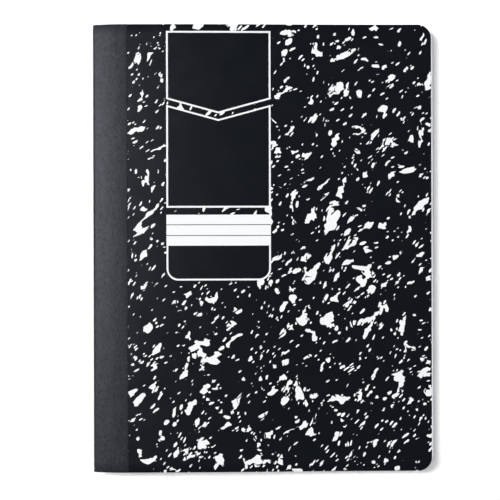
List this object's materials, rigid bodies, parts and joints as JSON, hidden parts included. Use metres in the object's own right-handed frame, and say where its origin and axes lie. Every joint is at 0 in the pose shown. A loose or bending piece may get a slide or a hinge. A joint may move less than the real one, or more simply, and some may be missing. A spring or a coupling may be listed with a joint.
{
  "type": "composition notebook",
  "caption": "Hardcover composition notebook: sewn ruled leaves in a black and white marbled board cover with a dark spine tape and rounded fore-edge corners.",
  "frame": {"origin": "centre of the overall box, on the plane that the closed notebook lies on", "axes": "+X from the spine to the fore-edge, +Y from the foot to the head, +Z from the back cover to the front cover"},
  "size_m": [0.1906, 0.2476, 0.013],
  "materials": {
    "marbled_board": "semi-gloss varnish over black and white marbling",
    "spine_tape": "satin, fine leather grain",
    "ruled_paper": "matte, uncoated",
    "sewing_thread": "matte cotton"
  },
  "bodies": {
    "book_block": {"page_block": "ruled_paper", "binding_thread": "sewing_thread", "spine_board": "marbled_board", "spine_tape": "spine_tape"},
    "front_cover": {"front_cover": "marbled_board", "front_tape": "spine_tape"},
    "back_cover": {"back_cover": "marbled_board", "back_tape": "spine_tape"}
  },
  "joints": [
    {"name": "front_cover_hinge", "type": "hinge", "parent": "book_block", "child": "front_cover", "pos_m": [-0.09525, 0, 0.0088], "axis": [0, -1, 0], "range_deg": [0, 179]},
    {"name": "back_cover_hinge", "type": "hinge", "parent": "book_block", "child": "back_cover", "pos_m": [-0.09525, 0, 0.0022], "axis": [0, 1, 0], "range_deg": [0, 179]}
  ]
}
